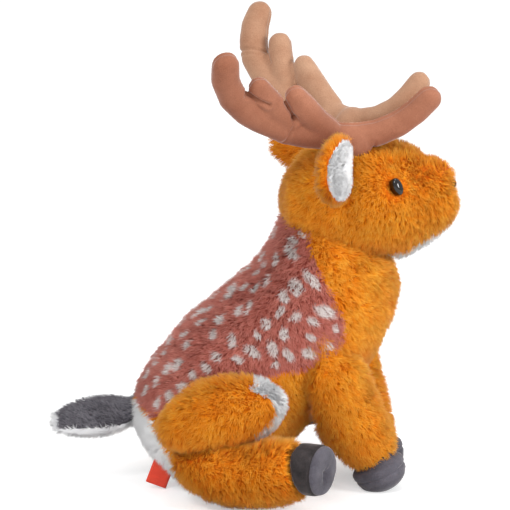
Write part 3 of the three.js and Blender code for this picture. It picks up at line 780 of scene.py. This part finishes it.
grow(torso, "back_panel", "saddle_plush", "torso", SADDLE, torso_flow, [head, *haunches.values()],
     level=spots, ratio=1.2)
grow(torso, "chest_panel", "chest_plush", "torso", ORANGE, torso_flow, [head, *limbs])
grow(torso, "rump_panel", "rump_plush", "torso", WHITE, torso_flow, limbs, keep=off_tab, rounded=0.15)
grow(head, "head_panel", "head_plush", "head", ORANGE, head_flow, [torso], ratio=1.25, keep=off_face)
grow(head, "chin_panel", "chin_plush", "head", WHITE, head_flow, [torso], rounded=0.15)
for side, sign in SIDES.items():
    haunch, foot = haunches[side], feet[side]
    down_back, forward = flow(-0.5, 0.2 * sign, -0.85), flow(0.866, 0.5 * sign, -0.3)
    fan = partial(ear_flow, EAR[side])
    for form, node, name, body, *rest, changes in (
        (legs[side], "front_leg_", "front_leg_plush_", "front_leg_", ORANGE, flow(*LEG_DOWN), [torso],
         {"keep": lambda p: (FRONT_SOLE[side] - p) @ LEG_DOWN > CUFF}),
        (haunch, "hind_thigh_", "thigh_plush_", "hind_leg_", ORANGE, down_back, [torso, foot], {}),
        (haunch, "thigh_trim_", "trim_plush_", "hind_leg_", WHITE, down_back, [torso], TRIM_PILE),
        (foot, "hind_foot_", "foot_plush_", "hind_leg_", ORANGE, forward, [torso, haunch], {}),
        (ears[side], "ear_back_", "ear_back_plush_", "ear_", ORANGE, fan, [head], EAR_BACK_PILE),
        (ears[side], "ear_lining_", "ear_lining_plush_", "ear_", WHITE, fan, [head], LINING_PILE),
    ):
        grow(form, node + side, name + side, body + side, *rest, **changes)
TAIL_PILE = dict(hides=[torso], density=2.8e6, buried=6 * MM)
grow(tail, "tail_top", "tail_top_plush", "tail", TAIL_GREY, flow(*TAIL_OUT), ratio=1.6, gather=0.2,
     **TAIL_PILE)
grow(tail, "tail_underside", "tail_fringe_plush", "tail", WHITE, flow(*TAIL_OUT), ratio=1.9, rounded=0.15,
     **TAIL_PILE)


# Cloth without pile, and the pieces that are hard

def bare(form, node, name, body, material):
    """A cloth panel as its skin alone, in place of one of the frame's solids."""
    faces = form.faces[form.face_label == form.nodes.index(node)]
    used, inverse = np.unique(faces, return_inverse=True)
    mesh = mesh_of(name, form.points[used], inverse.reshape(-1, 3))
    return settle(smooth_object(name, mesh, material), body, [node])


def seam_plane(node):
    """The plane that cuts a stuffed shape into its two cloths: the widest flat face of one half."""
    points, _, faces = arrays(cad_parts[node].data)
    corners = points[faces]
    crossed = np.cross(corners[:, 1] - corners[:, 0], corners[:, 2] - corners[:, 0])
    areas = np.linalg.norm(crossed, axis=1)
    own = np.unique(np.round(unit(crossed), 2), axis=0, return_inverse=True)[1].ravel()
    flat = own == np.argmax(np.bincount(own, areas))
    way = unit(crossed[flat].sum(axis=0))
    return way, float(np.average(corners[flat].mean(axis=1) @ way, weights=areas[flat]))


# Each antler's arms on its seam plane, in millimetres on the side view: x, z and half width
ANTLER_ARMS = {
    "right": [
        [(-17.7, 282.6, 8.1), (-17.8, 272.4, 8.6), (-13.5, 260.5, 8.8), (-4.9, 250.4, 8.3), (4.3, 243.6, 8.1),
         (18.7, 236.4, 8.7), (34.3, 232.6, 8.7), (46.9, 230.4, 8.1), (60.9, 227.4, 7.5)],
        [(2.5, 267.2, 6.2), (7.4, 259.3, 7.1), (13.6, 250, 7.4), (20.5, 241.2, 7.5)],
        [(25.7, 259.6, 6.5), (30.7, 251.4, 8.1), (37.4, 241.6, 8.4), (45, 234.1, 8.8)],
        [(53.3, 230, 8.5), (62.7, 229.4, 8.2), (76.7, 230.7, 8), (90.5, 236.2, 8.2), (101, 244.1, 8.2),
         (109, 252.7, 7.8)],
    ],
    "left": [
        [(2.9, 290.8, 7.8), (0, 282.8, 8.5), (-1.3, 273.1, 8.8), (0, 263.6, 8.5), (4.5, 255.1, 7.8),
         (11, 246.8, 8.4), (19.3, 240.5, 9), (32.1, 235.2, 9), (48, 232, 7.7)],
        [(16.2, 273.1, 7.1), (16.9, 265.1, 7.5), (17.5, 256.8, 7.8), (20, 248.8, 7.7)],
        [(31.6, 262.2, 6.5), (34.8, 254.8, 8.1), (40.5, 246.5, 8.7), (48, 239, 8)],
        [(48, 236.1, 7.7), (57.4, 232.9, 7.7), (66.8, 232.6, 7.5), (78.1, 235.2, 7.2), (89.4, 241.4, 7),
         (97, 249.6, 6.7), (103.9, 258.4, 6.7)],
    ],
}
# Folds pulled into the velour: from, to, depth and width
ANTLER_FOLDS = {
    "right": [((-6.6, 264.6), (6.8, 258.6), 2, 1.2), ((18.2, 257), (23, 247.6), 1.8, 1.2),
              ((23, 247.6), (23.2, 247.1), 2.2, 1.9), ((22.8, 244.5), (16.5, 232), 0.8, 1),
              ((73.6, 229.6), (72.6, 223.9), 0.5, 0.9)],
    "left": [((-8, 266.2), (8.2, 266.9), 0.9, 1), ((-6.4, 263.4), (5.2, 264.1), 0.5, 0.8),
             ((9.2, 267), (11.8, 260.7), 0.7, 1), ((28, 248.7), (31.2, 243.1), 0.7, 1)],
}
# An antler's thickness as a share of its width, and how far its seam lies off its middle plane
ANTLER_THICK = 0.84
SEAM_SHIFT = {"left": -3 * MM, "right": 3 * MM}
SEAM_HIGH = 0.5 * MM
BALL_STEP = 2 * MM


def on_plane(x, z, way, offset):
    x, z = x * MM, z * MM
    return np.array([x, (offset - x * way[0] - z * way[2]) / way[1], z])


def antler_plugs(side, way, offset):
    """Flattened balls set close together along each arm."""
    flat = turned_to(way)
    plugs = []
    for arm in ANTLER_ARMS[side]:
        places = np.array([on_plane(x, z, way, offset) for x, z, _ in arm])
        half = np.array([r for _, _, r in arm]) * MM
        along = np.concatenate([[0], np.cumsum(np.linalg.norm(np.diff(places, axis=0), axis=1))])
        for t in np.linspace(0, along[-1], int(along[-1] / BALL_STEP) + 1):
            middle = np.array([np.interp(t, along, places[:, k]) for k in range(3)])
            r = float(np.interp(t, along, half))
            plugs.append((middle, (r, r, r * ANTLER_THICK), flat))
    return plugs


def antler_relief(side, way, offset, p):
    """The seam's ridge between two hollows, and the folds between two slight swells."""
    away = p @ way - offset
    apart = np.abs(away - SEAM_SHIFT[side])
    raised = SEAM_HIGH * bell(apart, 0.7 * MM) - SEAM_HIGH * bell(apart - 2 * MM, MM)
    flat = p - away[:, None] * way
    for start, end, deep, wide in ANTLER_FOLDS[side]:
        a, deep, wide = on_plane(*start, way, offset), deep * MM, wide * MM
        along = on_plane(*end, way, offset) - a
        t = np.clip((flat - a) @ along / max(float(along @ along), 1e-12), 0, 1)
        far = np.linalg.norm(flat - a - t[:, None] * along, axis=1)
        raised -= deep * bell(far, wide) - 0.2 * deep * bell(far - 2.6 * wide, wide)
    return raised


def antler_label(side, way, offset, p, out):
    """0 on the outer cloth and 1 on the inner one."""
    outer = arrays(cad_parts["antler_outer_" + side].data)[0].mean(axis=0) @ way - offset
    return (p @ way - offset - SEAM_SHIFT[side]) * np.sign(outer) < 0


for i, side in enumerate(SIDES):
    place, rise = ANTLER[side]
    outer, inner = "antler_outer_" + side, "antler_inner_" + side
    plane = seam_plane(outer)
    root = (place - rise * 4 * MM, (11 * MM, 11 * MM, 14 * MM), turned_to(rise))
    antler = Form([outer, inner], plugs=[root, *antler_plugs(side, *plane)], rings=[], voxel=1.5 * MM,
                  rounds=5, seed=21 + i, finer=1, height=even(-0.8 * MM), lumps=0.5 * MM, sink=1,
                  relief=partial(antler_relief, side, *plane), labeller=partial(antler_label, side, *plane))
    body = "antler_" + side
    bare(antler, outer, "antler_outer_velour_" + side, body, ANTLER_OUTER)
    bare(antler, inner, "antler_inner_velour_" + side, body, ANTLER_INNER_LIT)


# Hooves: a seam lies behind each sole, the hind sole has a dimple below its middle, and the front one a dome

SOLE_SEAM_BACK, SOLE_SEAM_DEEP, SOLE_SEAM_WIDE = 3.2 * MM, 0.9 * MM, 0.8 * MM
DIMPLE_DOWN, DIMPLE_DEEP, DIMPLE_WIDE = 2 * MM, 3.4 * MM, 3.2 * MM
PUCKER_DEEP, PUCKER_WIDE = 0.4 * MM, 9 * MM
DOME_HIGH, DOME_RADIUS = 3.5 * MM, 15 * MM
TAPER_DEEP, TAPER_START, TAPER_END = 4.5 * MM, 7 * MM, 13 * MM
# Each end's soles, the ways they face, how proud its velour stands and its wall's material
HOOVES = {
    "front": (FRONT_SOLE, dict.fromkeys(SIDES, LEG_DOWN), 0.9 * MM, SOLE_GREY),
    "hind": (HIND_SOLE, HIND_SOLE_OUT, -0.4 * MM, HOOF_DARK),
}


def hoof_relief(middle, out, end, p):
    """The seam, with the hind sole's dimple, or with the front sole's dome and its wall's taper."""
    apart = p - middle
    up = apart @ out
    flat = apart - up[:, None] * out
    seam = -SOLE_SEAM_DEEP * bell(up + SOLE_SEAM_BACK, SOLE_SEAM_WIDE)
    face = smoothstep(up, -2 * MM, 0)
    if end == "hind":
        away = np.linalg.norm(flat + (0, 0, DIMPLE_DOWN), axis=1)
        puckers = PUCKER_DEEP * waves(unit(flat) * PUCKER_WIDE, PUCKER_WIDE, 61) * bell(away, PUCKER_WIDE)
        return seam + face * (puckers - DIMPLE_DEEP * bell(away, DIMPLE_WIDE))
    dome = DOME_HIGH * (1 - np.minimum(np.linalg.norm(flat, axis=1) / DOME_RADIUS, 1) ** 2)
    return seam + face * dome - TAPER_DEEP * smoothstep(-up, TAPER_START, TAPER_END)


for i, side in enumerate(SIDES):
    for j, (end, (middles, ways, proud, wall_look)) in enumerate(HOOVES.items()):
        middle, out = middles[side], ways[side]
        body, wall, sole = (end + part + side for part in ("_leg_", "_hoof_", "_sole_"))
        plug = (middle - out * 12 * MM, (14 * MM,) * 3, NO_TURN)
        relief = partial(hoof_relief, middle, out, end)
        form = Form([wall, sole], plugs=[plug], voxel=1.5 * MM, rounds=8, seed=31 + 2 * i + j, finer=1,
                    lumps=0.45 * MM, height=even(-proud), sink=1, relief=relief)
        bare(form, wall, end + "_hoof_velour_" + side, body, wall_look)
        bare(form, sole, end + "_sole_velour_" + side, body, SOLE_GREY)


# Fillings, inside

for node, name, body, slot, material, drawn in (
    ("body_stuffing", "body_filling", "torso", "filling", FIBRE, 7 * MM),
    ("head_stuffing", "head_filling", "head", "filling", FIBRE, 7 * MM),
    ("pellet_bag", "pellet_pouch", "torso", "pellet_bag", BAG_CLOTH, 0.5 * MM),
):
    filling = Form([node], voxel=4 * MM, rounds=6, seed=41, height=even(drawn))
    bare(filling, node, name, body, material)


# Eyes and nose

EYE_RADIUS, EYE_HIGH, EYE_TALL, EYE_SLANT = 3.4 * MM, 2.8 * MM, 1.68, math.radians(-14)
# How each eye turns from its seat's own way, and the eye's back: shares of its radius, and heights
EYE_LOOK = mirrored(0.14, -0.1, 0)
EYE_BACK = ((0.9, -3.5 * MM), (1.0, -1.2 * MM))
NOSE_RADIUS, NOSE_HIGH, NOSE_WIDE, NOSE_IN = 4.8 * MM, 4.2 * MM, 0.72, np.array([1.4 * MM, 0, 0])
NOSE_BACK = (3.2 * MM, -4 * MM)


def lathe(name, profile, count, material, place, out, tall, slant=0.0):
    """A form turned round an axis, from pairs of radius and height, stretched along one way across it."""
    out = Vector(out)
    up = Vector((0, 0, 1)) - out * out[2]
    up.normalize()
    up.rotate(Matrix.Rotation(slant, 3, out))
    aside = out.cross(up)
    rings = []
    for radius, height in profile:
        ring = []
        for angle in circle(count):
            across = up * (radius * tall * math.cos(angle)) + aside * (radius * math.sin(angle))
            ring.append(Vector(place) + across + out * height)
        rings.append(ring)
    return smooth_object(name, mesh_of(name, *ringed(rings)), material)


def dome(radius, high, rings, tip, fullness=1.0):
    """Pairs of radius and height, from a dome's rim to its top, which is as wide as `tip` says."""
    turns = np.linspace(0, math.pi / 2, rings)
    return [(radius * max(math.cos(t), tip) ** 0.8, high * math.sin(t) ** fullness) for t in turns]


def build_eyes():
    black = Look("eye_black", Roughness=0.08, Specular_IOR_Level=0.5)
    black.color(black.ramp(black.noise(90.0), [(0.3, (3, 2, 2)), (0.7, (14, 8, 6))]))
    profile = [(EYE_RADIUS * share, height) for share, height in EYE_BACK]
    profile += dome(EYE_RADIUS, EYE_HIGH, 12, 0.01, 0.85)
    for side, sign in SIDES.items():
        out, slant = unit(EYE_OUT[side] + EYE_LOOK[side]), EYE_SLANT * sign
        eye = lathe("eye_dome_" + side, profile, 40, black.material, EYE[side], out, EYE_TALL, slant)
        settle(eye, "head", ["eye_" + side])


def build_nose():
    thread = Look("nose_thread", Roughness=0.8, Specular_IOR_Level=0.2)
    lines = thread.bands("Y", 900.0, Distortion=1.5, Detail=2.0)
    thread.color(thread.ramp(lines, [(0, (30, 16, 14)), (1, (62, 36, 30))]))
    thread.bump(lines, distance=0.3 * MM, strength=0.8)
    profile = [NOSE_BACK] + dome(NOSE_RADIUS, NOSE_HIGH, 10, 0.02)
    nose = lathe("sewn_nose", profile, 36, thread.material, NOSE - NOSE_IN, unit(NOSE_OUT), NOSE_WIDE)
    settle(nose, "head", ["nose"])


build_eyes()
build_nose()


# The bare ribbon tab in the seat's seam: a folded strip with a hem along its free edge

TAB_SIZE = (13.8 * MM, 22 * MM)
TAB_CELLS = (12, 18)
TAB_THICK, HEM_THICK = 0.9 * MM, 0.5 * MM
# Where the hem starts along the tab, and where its rounded edges start from its middle
HEM_START, EDGE_START = 0.86, 0.86
TAB_CURL, TAB_TWIST = 1.2 * MM, 0.5 * MM
TAB_SHIFT = Vector((2.2 * MM, -3 * MM, 4.2 * MM))
TAB_TURN = math.radians(21)


def ribbon_look():
    look = Look("ribbon_weave", Roughness=0.6, Sheen_Weight=0.2)
    weft, warp = (look.bands(direction, 700.0, Distortion=0.4) for direction in "ZX")
    weave = look.math("MULTIPLY", weft, warp)
    worn = look.math("ADD", look.math("MULTIPLY", weave, 0.5), look.math("MULTIPLY", look.noise(160.0), 0.5))
    look.color(look.ramp(worn, [(0.1, (222, 46, 20)), (0.6, (255, 84, 50))]))
    look.bump(weave, distance=0.15 * MM, strength=0.6)
    return look.material


def build_tab():
    """The strip, by rings that run round it, from its hem up."""
    across, down = TAB_CELLS
    wide, long = TAB_SIZE
    rings = []
    for t in np.linspace(1, 0, down + 1):
        half_thick = (TAB_THICK + (HEM_THICK if t > HEM_START else 0)) / 2
        ring = []
        for face in (-1, 1):
            for u in np.linspace(face / 2, -face / 2, across + 1):
                edge = max(abs(u) * 2 - EDGE_START, 0) / (1 - EDGE_START)
                half = half_thick * math.sqrt(max(1 - edge**2, 0.02))
                curl = TAB_CURL * math.sin(2.4 * t + 0.6) + TAB_TWIST * u
                ring.append((u * wide, curl + face * half, (0.5 - t) * long))
        rings.append(ring)
    mesh = mesh_of("side_tab", *ringed(rings))
    low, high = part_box("side_label")
    mesh.transform(Matrix.Translation((low + high) / 2 + TAB_SHIFT) @ Matrix.Rotation(TAB_TURN, 4, "Y"))
    made = smooth_object("side_tab", mesh, ribbon_look())
    settle(made, "torso", ["side_label"])


def dress_washers():
    """The eyes' washers keep their solids and get a plastic."""
    plastic = Look("washer_plastic", Roughness=0.45)
    plastic.color(plastic.ramp(plastic.noise(120.0), [(0.3, (222, 221, 216)), (0.7, (240, 239, 235))]))
    plastic.bump(plastic.noise(500.0, roughness=0.6), distance=0.08 * MM, strength=0.5)
    for side in SIDES:
        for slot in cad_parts["eye_washer_" + side].material_slots:
            slot.material = plastic.material


build_tab()
dress_washers()


# Floor, background, lights and camera

FLOOR_REACH, FLOOR_GLOW, WORLD_LIGHT = 6, 0.45, 0.66
TOY_MIDDLE = Vector((0, 0, 0.14))
# Each lamp's name, place, size across and power
LAMPS = (
    ("key", (-0.9, -1.5, 1.7), 0.7, 20),
    ("top", (0.2, -0.1, 2.2), 1.2, 12),
    ("fill", (1.6, -1.1, 0.9), 0.7, 25),
)
# The camera looks down by 12 degrees, square to the toy's side
CAMERA_PLACE, CAMERA_AIM = Vector((0, -2.3476, 0.648)), Vector((0, 0, 0.149))
CAMERA_LENS = 266


def camera_only(look, plain, seen):
    """A shader that shows `seen` to the camera, in gloss and through glass, and lights by `plain`."""
    path = look.node("LightPath")
    rays = look.math("MAXIMUM", path.outputs["Is Camera Ray"], path.outputs["Is Glossy Ray"])
    rays = look.math("MAXIMUM", rays, path.outputs["Is Transmission Ray"])
    return look.node("MixShader", {0: rays, 1: plain.outputs[0], 2: seen.outputs[0]}).outputs[0]


def build_floor():
    corners = [(x * FLOOR_REACH, y * FLOOR_REACH, 0) for x, y in ((-1, -1), (1, -1), (1, 1), (-1, 1))]
    mesh = mesh_of("floor", corners, [(0, 1, 2, 3)])
    look = Look("floor")
    plain = look.node("BsdfDiffuse", {"Color": (0.8, 0.8, 0.8, 1)})
    glow = look.node("Emission", {"Color": (1, 1, 1, 1), "Strength": FLOOR_GLOW})
    seen = look.node("AddShader", {0: plain.outputs[0], 1: glow.outputs[0]})
    look.join(camera_only(look, plain, seen), look.tree.nodes["Material Output"].inputs[0])
    mesh.materials.append(look.material)
    linked("floor", mesh)


def build_world():
    world = bpy.data.worlds.new("studio")
    world.use_nodes = True
    bpy.context.scene.world = world
    look = Nodes(world.node_tree)
    plain = look.tree.nodes["Background"]
    look.join((1, 1, 1, 1), plain.inputs[0])
    look.join(WORLD_LIGHT, plain.inputs[1])
    bright = look.node("Background", {0: (1, 1, 1, 1), 1: 1})
    look.join(camera_only(look, plain, bright), look.tree.nodes["World Output"].inputs[0])


def aimed(place, aim):
    """The turn that points a lamp or a camera from its place to its aim."""
    return (Vector(aim) - Vector(place)).to_track_quat("-Z", "Y").to_euler()


def add_lamp(name, place, size, power):
    lamp = bpy.data.lights.new(name, "AREA")
    lamp.shape = "DISK"
    lamp.size = size
    lamp.energy = power
    holder = linked(name, lamp)
    holder.location = place
    holder.rotation_euler = aimed(place, TOY_MIDDLE)


def add_camera():
    camera = linked("camera", bpy.data.cameras.new("camera"))
    camera.location = CAMERA_PLACE
    camera.rotation_euler = aimed(CAMERA_PLACE, CAMERA_AIM)
    camera.data.sensor_width = 36
    camera.data.lens = CAMERA_LENS
    camera.data.clip_end = 20
    bpy.context.scene.camera = camera
    bpy.context.scene.view_settings.view_transform = "Standard"


build_floor()
build_world()
for lamp in LAMPS:
    add_lamp(*lamp)
add_camera()
